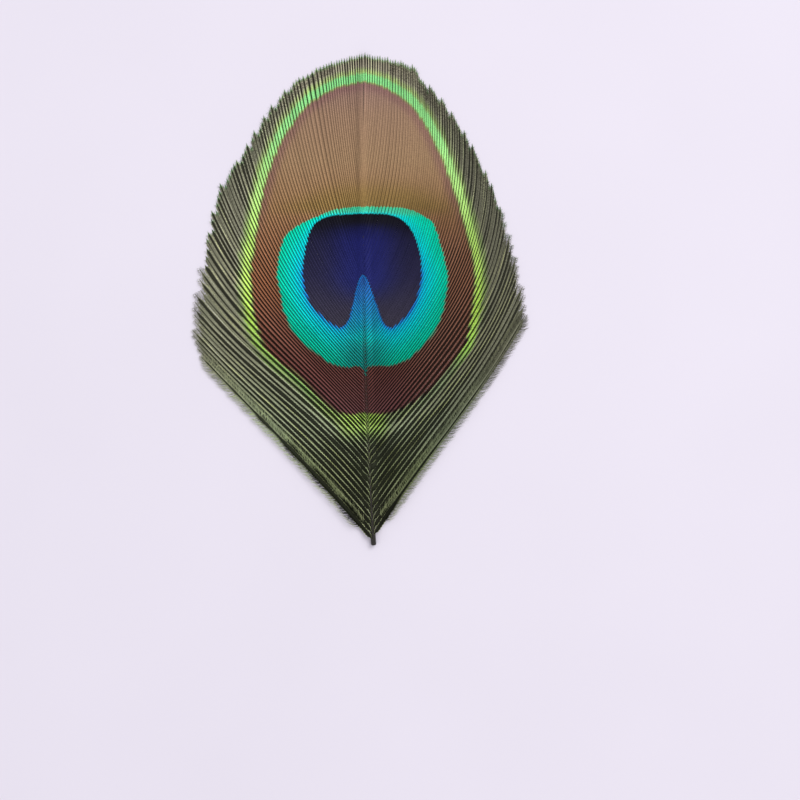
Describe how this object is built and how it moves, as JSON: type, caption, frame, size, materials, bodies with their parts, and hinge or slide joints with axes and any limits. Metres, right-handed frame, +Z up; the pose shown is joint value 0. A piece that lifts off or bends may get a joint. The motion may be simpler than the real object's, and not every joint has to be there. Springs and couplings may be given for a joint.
{
  "type": "peacock feather",
  "caption": "Trimmed peacock eye feather lying face up: a thin tapering shaft with an arched vane on either side.",
  "frame": {"origin": "middle of the feather's bounding box, on the surface that it lies on", "axes": "+Y from the cut end of the shaft to the crown of the vane, +Z up out of the coloured face, +X to the right seen from above"},
  "size_m": [0.0586, 0.0842, 0.0011],
  "materials": {
    "shaft": "satin",
    "barbs": "satin"
  },
  "bodies": {
    "root": {"shaft": "shaft", "vane_left": "barbs", "vane_right": "barbs"}
  },
  "joints": []
}
